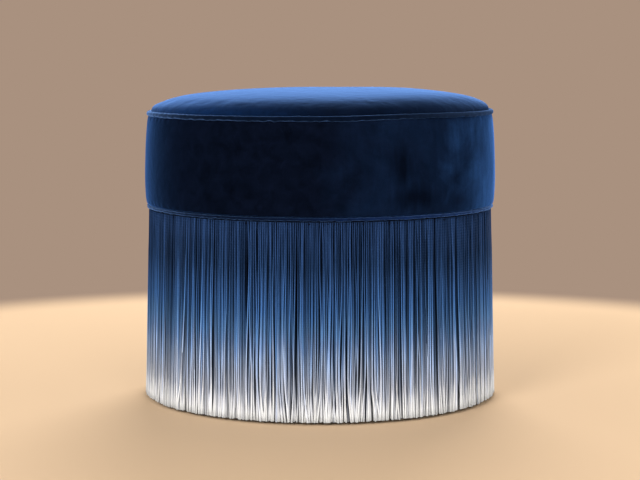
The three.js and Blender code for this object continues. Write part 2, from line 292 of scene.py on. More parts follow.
# The piping's velvet is cut on the bias and drawn tight, which opens its pile and shows more blue.
pipingLook = {
    **velvetLook,
    "name": "bias-cut velvet",
    "deep": "#030610",
    "pile": "#060f20",
    "paintedSheen": "#071022",
    "sheen": "#7da8ee",
    "gloss": 0.37,
    "comb": (0, -150),
}

# The lower piping has painted highlights: small flecks of a brighter blue, more and more towards the right.
paintedGlintLook = {
    **pipingLook,
    "name": "lower piping velvet, painted glints",
    "paintedSheen": "#182d5a",
    "comb": None,
    "patch": 5,
    "streak": 3,
    "paintedSheenSpan": (-0.1, 0.28),
}


def velvet(look):
    made, tree = startMaterial(look["name"])
    place = addNode(tree, "TexCoord").outputs["Object"]
    hanging = addNode(tree, "Mapping", {"Vector": place, "Scale": (1, 1, 0.18)})
    patches = addNode(
        tree, "TexNoise", {"Vector": place, "Scale": 1 / (look["patch"] * mm), "Detail": 4, "Distortion": 0.8}
    )
    streaks = addNode(tree, "TexNoise", {"Vector": hanging, "Scale": 1 / (look["streak"] * mm), "Detail": 3})
    strokes = addNode(tree, "TexNoise", {"Vector": place, "Scale": 1 / (16 * mm), "Detail": 3, "Distortion": 0.6})
    tufts = addNode(tree, "TexNoise", {"Vector": place, "Scale": 1 / (look["tuft"] * mm), "Detail": 2})
    split = addNode(tree, "SeparateXYZ", {0: place})
    across = split.outputs["X"]
    # Painted sheen: a brighter blue is painted in more and more across the piece, in blotches and streaks, towards the
    # side where the pile lies over and catches more light.
    low, high = look["paintedSheenSpan"]
    drawn = addNode(tree, "Math", {0: patches, 1: 0.08, 2: across}, operation="MULTIPLY_ADD")
    side = addNode(tree, "MapRange", {0: drawn, 1: low, 2: high}, interpolation_type="SMOOTHSTEP")
    faintPaintedSheen = addNode(tree, "MapRange", {0: drawn, 1: low - 0.14, 2: low - 0.07, 4: look["faintPaintedSheen"]})
    side = addNode(tree, "Math", {0: side, 1: faintPaintedSheen}, operation="MAXIMUM")
    blotch = addNode(tree, "MapRange", {0: patches, 1: 0.36, 2: 0.64, 3: 0.6, 4: 1.0})
    paintedSheen = addNode(tree, "Math", {0: side, 1: blotch}, operation="MULTIPLY")
    combed = addNode(tree, "MapRange", {0: streaks, 1: 0.3, 2: 0.7, 3: 0.75, 4: 1.2})
    paintedSheenShare = addNode(tree, "Math", {0: paintedSheen, 1: combed}, operation="MULTIPLY", use_clamp=True)
    ground = addNode(
        tree, "Mix", {0: addNode(tree, "MapRange", {0: strokes, 1: 0.2, 2: 0.75}), 6: linear(look["deep"]),
                      7: linear(look["pile"])}, data_type="RGBA"
    ).outputs[2]
    colour = addNode(tree, "Mix", {0: paintedSheenShare, 6: ground, 7: linear(look["paintedSheen"])}, data_type="RGBA").outputs[2]
    for middle, size in look["thumbMarks"]:
        shifted = addNode(tree, "VectorMath", {0: place, 1: middle}, operation="SUBTRACT")
        squeezed = addNode(tree, "VectorMath", {0: shifted, 1: size}, operation="DIVIDE")
        reach = addNode(tree, "VectorMath", {0: squeezed}, operation="LENGTH").outputs["Value"]
        ragged = addNode(tree, "Math", {0: streaks, 1: 1.2, 2: reach}, operation="MULTIPLY_ADD")
        pressed = addNode(tree, "MapRange", {0: ragged, 1: 1.0, 2: 2.2, 3: 0.8, 4: 0.0})
        colour = addNode(tree, "Mix", {0: pressed, 6: colour, 7: linear(look["deep"])}, data_type="RGBA").outputs[2]
    speckle = addNode(tree, "MapRange", {0: tufts, 1: 0.3, 2: 0.7, 3: 0.0, 4: 0.45})
    colour = addNode(tree, "Mix", {0: speckle, 6: colour, 7: linear(look["deep"])}, data_type="RGBA").outputs[2]
    lean = addNode(tree, "Bump", {"Height": patches, "Distance": 3 * mm, "Strength": 0.18})
    lean = addNode(tree, "Bump", {"Height": strokes, "Distance": look["brush"] * mm, "Normal": lean})
    if look["comb"]:
        left, right = look["comb"]
        rise = addNode(tree, "MapRange", {0: across, 1: 0.05, 2: 0.18, 3: left, 4: right}, interpolation_type="SMOOTHSTEP")
        level = addNode(tree, "VectorMath", {0: place, 1: (1, 1, 0)}, operation="MULTIPLY")
        radius = addNode(tree, "VectorMath", {0: level}, operation="LENGTH").outputs["Value"]
        steeper = addNode(tree, "Math", {0: radius, 1: 6.0}, operation="POWER")
        ahead = addNode(
            tree, "MapRange", {0: split.outputs["Y"], 1: 0.05, 2: -0.12}, interpolation_type="SMOOTHSTEP"
        )
        leaning = addNode(tree, "Math", {0: steeper, 1: ahead}, operation="MULTIPLY")
        combed = addNode(tree, "Math", {0: rise, 1: leaning}, operation="MULTIPLY")
        lean = addNode(tree, "Bump", {"Height": combed, "Distance": 1.0, "Normal": lean})
    normal = addNode(tree, "Bump", {"Height": tufts, "Distance": 0.25 * mm, "Strength": 0.4, "Normal": lean})
    finishMaterial(
        tree,
        {
            "Base Color": colour,
            "Roughness": 0.9,
            "Specular IOR Level": 0.0,
            "Sheen Weight": 1.0,
            "Sheen Roughness": look["gloss"],
            "Sheen Tint": linear(look["sheen"]),
            "Normal": normal,
        },
    )
    return made


# Twisted viscose cord, dip-dyed: each cord has a bright line down its middle, navy at the head
# and undyed white at the cut end. The dye climbs to its own height in each cord.
cordLook = {
    "span": 250,  # height in mm that the dye ramp covers, from the floor
    "dye": [
        (8, "#eeece9"),
        (23, "#e2e1e3"),
        (39, "#b3b7c3"),
        (58, "#a1abc0"),
        (76, "#8ea1bf"),
        (94, "#6982aa"),
        (111, "#51749f"),
        (135, "#395d8d"),
        (160, "#2f4d79"),
        (188, "#203759"),
        (215, "#22385c"),
        (244, "#273e65"),
    ],
    "unevennessAndShade": (0.07, 1.56),  # darkest and brightest cord where the dye is full; the darkest are painted shade in the inner rows
    "even": 0.6,  # how nearly all cords look the same close to the head, where they lie flat side by side
    "twist": 2.5,  # pitch of the cord's twist in mm
}


def dyedCord():
    look = cordLook
    made, tree = startMaterial("dip-dyed viscose cord")
    place = addNode(tree, "TexCoord").outputs["Object"]
    height = addNode(tree, "SeparateXYZ", {0: place}).outputs["Z"]
    toneAndShade = addNode(tree, "Attribute", attribute_name="toneAndShade").outputs["Fac"]
    soak = addNode(tree, "Attribute", attribute_name="soak").outputs["Fac"]
    upright = addNode(tree, "Mapping", {"Vector": place, "Scale": (1, 1, 0.15)})
    blotch = addNode(tree, "TexNoise", {"Vector": upright, "Scale": 1 / (6 * mm), "Detail": 2})
    creep = addNode(tree, "MapRange", {0: blotch, 1: 0.3, 2: 0.7, 3: -8 * mm, 4: 8 * mm})
    soaked = addNode(tree, "Math", {0: height, 1: soak}, operation="ADD")
    dyeHeight = addNode(tree, "Math", {0: soaked, 1: creep}, operation="ADD")
    level = addNode(tree, "MapRange", {0: dyeHeight, 1: 0, 2: look["span"] * mm})
    stops = [(at / look["span"], colour) for at, colour in look["dye"]]
    dyed = addNode(tree, "ValToRGB", {0: level}, stops=stops)
    # the low end darkens the inner rows' cords as painted shade
    low, high = look["unevennessAndShade"]
    strong = addNode(tree, "MapRange", {0: toneAndShade, 3: low, 4: high})
    calm = addNode(tree, "MapRange", {0: height, 1: 0.19, 2: 0.242, 3: 0.0, 4: look["even"]})
    strong = addNode(tree, "Mix", {0: calm, 2: strong, 3: 0.8})
    worn = addNode(tree, "MapRange", {0: blotch, 1: 0.3, 2: 0.7, 3: 0.82, 4: 1.2})
    strong = addNode(tree, "Math", {0: strong, 1: worn}, operation="MULTIPLY")
    faint = addNode(tree, "MapRange", {0: toneAndShade, 3: 0.84, 4: 1.02})
    full = addNode(tree, "MapRange", {0: dyeHeight, 1: 0.0, 2: 0.07})
    shade = addNode(tree, "Mix", {0: full, 2: faint, 3: strong})
    toned = addNode(tree, "VectorMath", {0: dyed, "Scale": shade}, operation="SCALE")
    split = addNode(tree, "SeparateXYZ", {0: addNode(tree, "UVMap", uv_map="cord")})
    turns = addNode(tree, "Math", {0: split.outputs["Y"], 1: look["twist"] * mm}, operation="DIVIDE")
    winding = addNode(tree, "Math", {0: split.outputs["X"], 1: turns}, operation="ADD")
    ply = addNode(
        tree, "Math", {0: addNode(tree, "Math", {0: winding, 1: fullTurn}, operation="MULTIPLY")}, operation="SINE"
    )
    # Painted shade: the colour is darker in the grooves of the twist.
    grooveShade = addNode(tree, "MapRange", {0: ply, 1: -1, 2: 0.2, 3: 0.88, 4: 1.04})
    grooveShaded = addNode(tree, "VectorMath", {0: toned, "Scale": grooveShade}, operation="SCALE")
    finishMaterial(
        tree,
        {
            "Base Color": grooveShaded,
            "Roughness": 0.45,
            "Specular IOR Level": 0.06,
            "Specular Tint": linear("#a9c4ff"),
            "Normal": addNode(tree, "Bump", {"Height": ply, "Distance": 0.15 * mm, "Strength": 0.6}),
        },
    )
    return made


# Plain woven cotton, dyed black: a fine over-and-under thread, no shine.
def blackCotton():
    made, tree = startMaterial("black lining cotton")
    thread = 1.2 * mm  # coarser than the real 0.4 mm threads
    split = addNode(tree, "SeparateXYZ", {0: addNode(tree, "TexCoord").outputs["Object"]})
    turn = addNode(tree, "Math", {0: split.outputs["Y"], 1: split.outputs["X"]}, operation="ARCTAN2")
    across = addNode(tree, "Math", {0: turn, 1: round(0.214 / thread) * math.pi}, operation="MULTIPLY")
    up = addNode(tree, "Math", {0: split.outputs["Z"], 1: math.pi / thread}, operation="MULTIPLY")
    warp = addNode(tree, "Math", {0: across}, operation="SINE")
    weft = addNode(tree, "Math", {0: up}, operation="SINE")
    weave = addNode(tree, "Math", {0: warp, 1: weft}, operation="MULTIPLY")
    level = addNode(tree, "MapRange", {0: weave, 1: -1, 2: 1})
    finishMaterial(
        tree,
        {
            "Base Color": addNode(tree, "ValToRGB", {0: level}, stops=[(0, "#040508"), (1, "#0c0e15")]),
            "Roughness": 0.95,
            "Specular IOR Level": 0.1,
            "Normal": addNode(tree, "Bump", {"Height": weave, "Distance": 0.15 * mm}),
        },
    )
    return made


# Spun-bonded polypropylene: pressed fibres with a grid of small welded dots.
def dustCloth():
    made, tree = startMaterial("spun-bonded dust cloth")
    place = addNode(tree, "TexCoord").outputs["Object"]
    fibres = addNode(tree, "TexNoise", {"Vector": place, "Scale": 1 / (1.5 * mm), "Detail": 4, "Distortion": 1.5})
    dots = addNode(
        tree, "TexVoronoi", {"Vector": place, "Scale": 1 / (2 * mm), "Randomness": 0.0}, voronoi_dimensions="2D"
    )
    raised = addNode(tree, "MapRange", {0: dots, 1: 0.18, 2: 0.3})
    felt = addNode(tree, "ValToRGB", {0: fibres}, stops=[(0.3, "#101114"), (0.7, "#26282d")])
    finishMaterial(
        tree,
        {
            "Base Color": addNode(tree, "Mix", {0: raised, 6: linear("#08090b"), 7: felt}, data_type="RGBA").outputs[2],
            "Roughness": 0.8,
            "Specular IOR Level": 0.3,
            "Normal": addNode(tree, "Bump", {"Height": raised, "Distance": 0.12 * mm, "Strength": 0.7}),
        },
    )
    return made


# Upholstery foam: open cells and no shine.
def cutFoam():
    made, tree = startMaterial("upholstery foam")
    place = addNode(tree, "TexCoord").outputs["Object"]
    cells = addNode(tree, "TexVoronoi", {"Vector": place, "Scale": 1 / (1.5 * mm)})
    finishMaterial(
        tree,
        {
            "Base Color": addNode(tree, "ValToRGB", {0: cells}, stops=[(0, "#c9bf9c"), (0.6, "#efe8cf")]),
            "Roughness": 0.95,
            "Normal": addNode(tree, "Bump", {"Height": cells, "Distance": 0.4 * mm, "Strength": 0.6}),
        },
    )
    return made


# Polyester wadding: loose white fibres laid flat.
def waddingFibre():
    made, tree = startMaterial("polyester wadding")
    flat = addNode(tree, "Mapping", {"Vector": addNode(tree, "TexCoord").outputs["Object"], "Scale": (1, 1, 3)})
    fibres = addNode(
        tree, "TexNoise", {"Vector": flat, "Scale": 1 / (4 * mm), "Detail": 6, "Roughness": 0.7, "Distortion": 2.5}
    )
    finishMaterial(
        tree,
        {
            "Base Color": addNode(tree, "ValToRGB", {0: fibres}, stops=[(0.25, "#d8d8d4"), (0.7, "#f7f7f4")]),
            "Roughness": 0.95,
            "Sheen Weight": 0.4,
            "Normal": addNode(tree, "Bump", {"Height": fibres, "Distance": 0.8 * mm, "Strength": 0.6}),
        },
    )
    return made


# Sawn birch plywood: pale rotary-cut faces, and on the edge alternate plies that run dark across the grain.
def birchPlywood():
    made, tree = startMaterial("birch plywood")
    place = addNode(tree, "TexCoord").outputs["Object"]
    along = addNode(tree, "Mapping", {"Vector": place, "Scale": (0.2, 2.5, 1)})
    figure = addNode(tree, "TexNoise", {"Vector": along, "Scale": 1 / (14 * mm), "Detail": 5, "Distortion": 1.2})
    pores = addNode(tree, "TexNoise", {"Vector": along, "Scale": 1 / (2 * mm), "Detail": 2})
    height = addNode(tree, "SeparateXYZ", {0: place}).outputs["Z"]
    ply = addNode(tree, "Math", {0: height, 1: math.pi / (1.5 * mm)}, operation="MULTIPLY")
    layer = addNode(tree, "MapRange", {0: addNode(tree, "Math", {0: ply}, operation="SINE"), 1: -0.2, 2: 0.2})
    face = addNode(tree, "ValToRGB", {0: figure}, stops=[(0.3, "#b98f5e"), (0.7, "#dcbf92")])
    sawn = addNode(tree, "Mix", {0: layer, 6: linear("#a27a4c"), 7: face}, data_type="RGBA").outputs[2]
    fleck = addNode(tree, "MapRange", {0: pores, 1: 0.6, 2: 0.75, 3: 0, 4: 0.4})
    finishMaterial(
        tree,
        {
            "Base Color": addNode(tree, "Mix", {0: fleck, 6: sawn, 7: linear("#8a6238")}, data_type="RGBA").outputs[2],
            "Roughness": 0.62,
            "Normal": addNode(tree, "Bump", {"Height": pores, "Distance": 0.1 * mm, "Strength": 0.4}),
        },
    )
    return made


# Planed softwood: long grain up the post, with resin-dark latewood lines.
def planedPine():
    made, tree = startMaterial("planed pine")
    upright = addNode(tree, "Mapping", {"Vector": addNode(tree, "TexCoord").outputs["Object"], "Scale": (1, 1, 0.03)})
    lines = addNode(
        tree,
        "TexWave",
        {"Vector": upright, "Scale": 60, "Distortion": 2.5, "Detail": 2, "Detail Scale": 1.2},
        wave_type="RINGS",
        rings_direction="Z",
    )
    finishMaterial(
        tree,
        {
            "Base Color": addNode(
                tree, "ValToRGB", {0: lines}, stops=[(0.2, "#e2c391"), (0.75, "#d4ab70"), (1, "#b07f45")]
            ),
            "Roughness": 0.55,
            "Normal": addNode(tree, "Bump", {"Height": lines, "Distance": 0.12 * mm, "Strength": 0.4}),
        },
    )
    return made


# Hardboard: hot-pressed wood fibre, brown, smooth on one face.
def pressedHardboard():
    made, tree = startMaterial("pressed hardboard")
    place = addNode(tree, "TexCoord").outputs["Object"]
    fibres = addNode(tree, "TexNoise", {"Vector": place, "Scale": 1 / (3 * mm), "Detail": 5, "Roughness": 0.7})
    finishMaterial(
        tree,
        {
            "Base Color": addNode(tree, "ValToRGB", {0: fibres}, stops=[(0.3, "#4c3220"), (0.7, "#7d5a3c")]),
            "Roughness": 0.6,
            "Normal": addNode(tree, "Bump", {"Height": fibres, "Distance": 0.1 * mm, "Strength": 0.4}),
        },
    )
    return made


# Injection-moulded polypropylene: fine spark-eroded texture, scuffed pale where it slides on the floor.
def mouldedPlastic():
    made, tree = startMaterial("moulded polypropylene")
    place = addNode(tree, "TexCoord").outputs["Object"]
    texture = addNode(tree, "TexNoise", {"Vector": place, "Scale": 1 / (0.6 * mm), "Detail": 2})
    wear = addNode(tree, "TexNoise", {"Vector": place, "Scale": 1 / (5 * mm), "Detail": 4, "Roughness": 0.7})
    scuffs = addNode(tree, "MapRange", {0: wear, 1: 0.55, 2: 0.7})
    finishMaterial(
        tree,
        {
            "Base Color": addNode(tree, "ValToRGB", {0: scuffs}, stops=[(0, "#17181a"), (1, "#2b2c2e")]),
            "Roughness": addNode(tree, "MapRange", {0: scuffs, 3: 0.42, 4: 0.6}),
            "Normal": addNode(tree, "Bump", {"Height": texture, "Distance": 0.05 * mm, "Strength": 0.5}),
        },
    )
    return made


# Bright zinc plate on steel: bluish silver, with small dull clouds.
def zincPlate():
    made, tree = startMaterial("bright zinc plate")
    place = addNode(tree, "TexCoord").outputs["Object"]
    clouds = addNode(tree, "TexNoise", {"Vector": place, "Scale": 1 / (2 * mm), "Detail": 3})
    finishMaterial(
        tree,
        {
            "Base Color": addNode(tree, "ValToRGB", {0: clouds}, stops=[(0.3, "#a9adb2"), (0.7, "#cdd1d6")]),
            "Metallic": 1.0,
            "Roughness": addNode(tree, "MapRange", {0: clouds, 1: 0.3, 2: 0.7, 3: 0.28, 4: 0.45}),
        },
    )
    return made


# Woven head of the fringe: tight cross threads that lock the cords in. It is coloured near black, darker than the
# cords' dye, as painted shade in the recess under the lower piping.
def wovenHeadPaintedShade():
    made, tree = startMaterial("woven fringe head, painted shade")
    split = addNode(tree, "SeparateXYZ", {0: addNode(tree, "TexCoord").outputs["Object"]})
    turn = addNode(tree, "Math", {0: split.outputs["Y"], 1: split.outputs["X"]}, operation="ARCTAN2")
    across = addNode(tree, "Math", {0: turn, 1: 900}, operation="MULTIPLY")
    up = addNode(tree, "Math", {0: split.outputs["Z"], 1: math.pi / (1 * mm)}, operation="MULTIPLY")
    ribs = addNode(tree, "Math", {0: across}, operation="SINE")
    rows = addNode(tree, "Math", {0: up}, operation="SINE")
    weave = addNode(tree, "Math", {0: ribs, 1: rows}, operation="MULTIPLY")
    level = addNode(tree, "MapRange", {0: weave, 1: -1, 2: 1})
    finishMaterial(
        tree,
        {
            "Base Color": addNode(tree, "ValToRGB", {0: level}, stops=[(0, "#03060e"), (1, "#0b1630")]),
            "Roughness": 0.8,
            "Specular IOR Level": 0.1,
            "Normal": addNode(tree, "Bump", {"Height": weave, "Distance": 0.2 * mm}),
        },
    )
    return made


# The crowned top panel

panel = {
    "radius": 216.2,  # where the crown starts, beside the piping
    "edge": 366.5,
    "crest": 395.2,
    "power": 0.425,
    "side": 215.3,
    "seam": (209.5, 362.2),  # inner end of the turned-in edge
    "cloth": 1.2,
    "steps": 300,
    "rings": 26,
    "pucker": 0.35,
    "swell": 0.25,
    "ease": 0.35,  # the crown is drawn tighter than the strip
    "flatter": 1.2,  # how much lower the filling stands at the left edge
}


def crownHeight(radius):
    share = max(0.0, 1 - (radius / panel["radius"]) ** 2)
    return panel["edge"] + (panel["crest"] - panel["edge"]) * share ** panel["power"]


def addTopPanel(material):
    seamR, seamZ = panel["seam"]
    outline = [(seamR, seamZ), (panel["side"], seamZ), (panel["side"], seamZ + 1.8)]
    for ring in range(panel["rings"] + 1):
        turn = ring / panel["rings"] * math.pi / 2
        radius = panel["radius"] * math.cos(turn) if ring < panel["rings"] else 0
        outline.append((radius, crownHeight(radius)))
    bm = spun(outline, panel["steps"], closed=False)
    for vert in bm.verts:
        place = vert.co
        reach = math.hypot(place.x, place.y) / mm
        if reach < 1 or place.z / mm < panel["edge"]:
            continue
        nearEdge = math.exp(-(panel["radius"] - reach) / 14)
        ripple = roundNoise(Vector((place.x, place.y, 0)), 9, 3.1) * nearEdge * (1 - nearEdge) * 4
        aside = place.x / mm
        drop = panel["flatter"] * smoothStep(170, 206, -aside) * smoothStep(0, 16, panel["radius"] - reach)
        swell = abs(roundNoise(place, 120, 8.2)) * panel["swell"]
        place.z += (ripple * panel["pucker"] - swell - drop) * mm
    made = addObject("topPanel", bm, material)
    fillOut(made, lambda place: place.z < (panel["edge"] + 0.5) * mm, panel["ease"])
    liftSeam(made)
    thicken(made, panel["cloth"])
    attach(made, "root")
    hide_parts("top_panel")


def thicken(piece, millimetres):
    wall = piece.modifiers.new("cloth", "SOLIDIFY")
    wall.thickness = millimetres * mm
    wall.offset = -1


# The cushion is stuffed fuller on the right, which lifts its top seam there a little.
seamLift = {"height": 2.4, "from": 10, "to": 125, "foot": 300}


def liftSeam(made):
    for vert in made.data.vertices:
        rise = smoothStep(seamLift["from"], seamLift["to"], vert.co.x / mm)
        share = smoothStep(seamLift["foot"], strip["top"], vert.co.z / mm)
        vert.co.z += seamLift["height"] * rise * share * mm


stuffing = {
    "pressure": 1.0,
    "frames": 20,
    "spare": 0.003,  # share of spare cloth that is eased into the seams
    "bending": 0.6,
    "limit": 1.3,  # how far the cloth may move, in mm
}


# Fills a sewn panel out over its padding while its seams are held, and keeps a share of the move.
def fillOut(made, held, share):
    mesh = made.data
    seams = made.vertex_groups.new(name="seams")
    seams.add([vert.index for vert in mesh.vertices if held(vert.co)], 1, "REPLACE")
    wear = made.modifiers.new("wear", "CLOTH")
    settings = wear.settings
    settings.quality = 6
    settings.vertex_group_mass = "seams"
    settings.use_pressure = True
    settings.uniform_pressure_force = stuffing["pressure"]
    settings.shrink_min = -stuffing["spare"]
    settings.bending_stiffness = stuffing["bending"]
    settings.effector_weights.gravity = 0
    wear.point_cache.frame_end = stuffing["frames"]
    for frame in range(1, stuffing["frames"] + 1):
        scene.frame_set(frame)
    worn = made.evaluated_get(bpy.context.evaluated_depsgraph_get()).data
    moves = [after.co - before.co for after, before in zip(worn.vertices, mesh.vertices)]
    made.modifiers.remove(wear)
    made.vertex_groups.clear()
    furthest = max(move.length for move in moves)
    limit = stuffing["limit"] * mm
    for vert, move in zip(mesh.vertices, moves):
        vert.co += move * (share * limit / max(move.length, limit))
    scene.frame_set(1)
    print(made.name, "filled out, furthest move before the limit", round(furthest / mm, 2), "mm")


# The boxing strip

strip = {
    "bottom": 248.2,
    "top": 360.2,
    "lowRadius": 222.6,
    "highRadius": 219.7,
    "bulge": 2.6,
    "fullness": 3,
    "turnInLow": 218.0,
    "turnInHigh": 209.5,
    "roll": 1.0,  # radius of the folded edges
    "cloth": 1.2,
    "steps": 480,
    "rows": 30,
    "pucker": 0.55,
    "swell": 0.5,
    "ease": 1.0,
}


def stripRadius(height):
    share = (height - strip["bottom"]) / (strip["top"] - strip["bottom"])
    straight = strip["lowRadius"] + (strip["highRadius"] - strip["lowRadius"]) * share
    return straight + strip["bulge"] * (1 - abs(share * 2 - 1) ** strip["fullness"])


def addStrip(material):
    low, high, roll = strip["bottom"], strip["top"], strip["roll"]
    outline = [(strip["turnInLow"], low)] + arc(strip["lowRadius"] - roll, low + roll, roll, -90, -30, 2)
    for row in range(strip["rows"] + 1):
        share = (1 - math.cos(row / strip["rows"] * math.pi)) / 2  # closer rows at the seams
        height = low + roll + (high - low - 2 * roll) * share
        outline.append((stripRadius(height), height))
    outline += arc(strip["highRadius"] - roll, high - roll, roll, 30, 90, 2) + [(strip["turnInHigh"], high)]
    bm = spun(outline, strip["steps"], closed=False)
    for vert in bm.verts:
        place = vert.co
        height = place.z / mm
        if math.hypot(place.x, place.y) / mm < 219:
            continue
        toSeam = min(height - strip["bottom"], strip["top"] - height)
        pinned = smoothStep(0, 3, toSeam)
        ripple = roundNoise(Vector((place.x, place.y, 0)), 8, 5.5) * math.exp(-toSeam / 9) * strip["pucker"]
        swell = roundNoise(place, 70, 1.7) * strip["swell"] * smoothStep(0, 25, toSeam)
        seam = -1.1 * math.exp(-((place.x / mm / 1.8) ** 2)) if place.y > 0 else 0
        pushOut(place, pinned * (ripple + swell + seam))
    made = addObject("boxingStrip", bm, material)
    free = ((low + roll + 0.2) * mm, (high - roll - 0.2) * mm)
    fillOut(made, lambda place: not free[0] < place.z < free[1], strip["ease"])
    liftSeam(made)
    thicken(made, strip["cloth"])
    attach(made, "root")
    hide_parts("band_cover")


# The two pipings: velvet cut on the bias and sewn round a cord

topPiping = {
    "name": "topPiping",
    "node": "top_piping",
    "middle": (219.05, 362.9),
    "radius": 3.1,
    "tail": [(209.5, 361.7), (209.5, 361.0)],
    "arc": (-114, 221),
    "pucker": 0.12,
    "seed": 2.3,
}
lowerPiping = {
    "name": "lowerPiping",
    "node": "lower_piping",
    "middle": (220.8, 245.0),
    "radius": 1.85,
    "tail": [(217.6, 247.4), (217.6, 254.0), (216.8, 254.0), (216.8, 244.6)],
    "arc": (-157, 157),
    "pucker": 0.2,
    "seed": 6.1,
}
pipingWork = {"steps": 640, "sides": 14, "under": 2.2, "pitch": 5.0, "wander": 0.35}


def addPiping(piping, material):
    middleR, middleZ = piping["middle"]
    cord = arc(middleR, middleZ, piping["radius"], *piping["arc"], pipingWork["sides"])
    bm = spun(cord + piping["tail"], pipingWork["steps"])
    for vert in bm.verts:
        place = vert.co
        reach = math.hypot(place.x, place.y) / mm
        if reach < middleR - piping["radius"] * 0.75:
            continue
        out = Vector((place.x, place.y, 0)).normalized()
        centre = out * middleR * mm + Vector((0, 0, middleZ * mm))
        around = place - centre
        along = Vector((centre.x, centre.y, around.z * 2))  # puckers run round the cord on the bias
        # The seam below the cord draws the cloth into deeper puckers on that side.
        deeper = 1 + pipingWork["under"] * smoothStep(0, piping["radius"], -around.z / mm)
        pucker = roundNoise(along, pipingWork["pitch"], piping["seed"]) * piping["pucker"] * deeper
        wander = roundNoise(centre, 60, piping["seed"]) * pipingWork["wander"]
        around *= 1 + pucker
        place.xyz = centre + around + Vector((0, 0, wander * mm))
    made = addObject(piping["name"], bm, material)
    liftSeam(made)
    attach(made, "root")
    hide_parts(piping["node"])


# The fringe: cords that hang from a woven head in small tufts, curl a little and are cut level

fringe = {
    # Where a row leaves the head, its spacing, share missing, darkest and palest, radius of a cord,
    # and how many mm lower than in the outer row the dye reaches. The inner rows' darker tones are painted shade behind
    # the outer row.
    "rows": [
        {"radius": 215.7, "pitch": 2.7, "missing": 0.0, "tonesAndShade": (0.0, 0.08), "thick": 0.98, "dyed": 13},
        {"radius": 217.2, "pitch": 2.5, "missing": 0.22, "tonesAndShade": (0.06, 0.6), "thick": 0.8, "dyed": 4},
        {"radius": 219.1, "pitch": 2.25, "missing": 0.06, "tonesAndShade": (0.12, 0.96), "thick": 0.75, "dyed": 0},
    ],
    "depth": 0.35,  # how far a cord stands before or behind its row
    "tuft": (4.0, 11.0),  # narrowest and widest tuft
    "gather": (0.87, 0.99),  # what is left of a tuft's width once it has drawn together
    "headZ": 241.3,
    "tipZ": 3.3,
    "ragged": 0.7,
    "flare": 5.7,
    "frayed": 1.5,  # how much thicker its untwisted end is
    "drift": 2.4,  # how far neighbours lean together at the tips
    "lean": 1.2,
    "sway": (0.75, 0.5, 1.6),  # how far a cord wanders, and its fewest and most waves
    "splay": 2.6,  # how far a tip turns aside
    "stray": 0.03,  # share of the outer cords that lean across the others
    "sides": 5,
    "segments": 12,
}
quarters = {"front": -90, "right": 0, "back": 90, "left": 180}


def cordTemplate():
    bm = bmesh.new()
    sides = fringe["sides"]
    bmesh.ops.create_cone(bm, segments=sides, radius1=1, radius2=1, depth=1, cap_ends=True, cap_tris=False)
    bmesh.ops.translate(bm, verts=bm.verts, vec=(0, 0, 0.5))
    upright = [edge for edge in bm.edges if abs(edge.verts[0].co.z - edge.verts[1].co.z) > 0.5]
    bmesh.ops.subdivide_edges(bm, edges=upright, cuts=fringe["segments"] - 1)
    layer = bm.loops.layers.uv.new("cord")
    length = (fringe["headZ"] - fringe["tipZ"]) * mm
    for face in bm.faces:
        turns = [math.atan2(loop.vert.co.y, loop.vert.co.x) / fullTurn % 1 for loop in face.loops]
        if max(turns) - min(turns) > 0.5:
            turns = [turn + 1 if turn < 0.5 else turn for turn in turns]
        for loop, turn in zip(face.loops, turns):
            loop[layer].uv = (turn, loop.vert.co.z * length)
    mesh = bpy.data.meshes.new("cordTemplate")
    bm.to_mesh(mesh)
    bm.free()
    return mesh


# Tufts are stretches of the round: angle of the middle, half its width, and how it draws together.
def layTufts(rand):
    radius = fringe["rows"][-1]["radius"]
    edges = [0.0]
    while edges[-1] < fullTurn - fringe["tuft"][1] / radius:
        edges.append(edges[-1] + rand.uniform(*fringe["tuft"]) / radius)
    edges.append(fullTurn)
    tufts = []
    for start, end in zip(edges, edges[1:]):
        tufts.append(
            {
                "start": start,
                "end": end,
                "gather": rand.uniform(*fringe["gather"]),
                "lean": rand.gauss(0, 0.5),
                "splay": rand.gauss(0, 0.5 * fringe["splay"]),
            }
        )
    return tufts


def drawCord(rand, angle, row, tuft):
    outermost = row is fringe["rows"][-1]
    innermost = row is fringe["rows"][0]
    stray = outermost and rand.random() < fringe["stray"]
    middle = (tuft["start"] + tuft["end"]) / 2
    sway, fewest, most = fringe["sway"]
    return {
        "angle": angle,
        "radius": row["radius"] + rand.gauss(0, fringe["depth"]),
        "off": (angle - middle) * row["radius"],
        "gather": 1.0 if innermost else tuft["gather"],
        "ease": 0.3 if innermost else 1.0,  # the inner cords have no room to wander
        "fan": rand.uniform(0.9, 1.2),
        "lean": tuft["lean"] + (rand.choice((-1, 1)) * rand.uniform(4, 9) if stray else rand.gauss(0, fringe["lean"])),
        "proud": 0.8 if stray else 0,
        "sway": rand.gauss(0, sway),
        "swayPitch": rand.uniform(fewest, most),
        "phase": rand.uniform(0, fullTurn),
        "splay": tuft["splay"] + rand.gauss(0, fringe["splay"]),
        "flare": fringe["flare"] + rand.gauss(0, 0.4),
        "tip": fringe["tipZ"] + abs(rand.gauss(0, fringe["ragged"])),
        "thick": row["thick"] * rand.uniform(0.85, 1.12),
        "toneAndShade": 0.9 if stray else rand.uniform(*row["tonesAndShade"]),
        "soak": rand.gauss(row["dyed"] * mm, 7 * mm),
    }


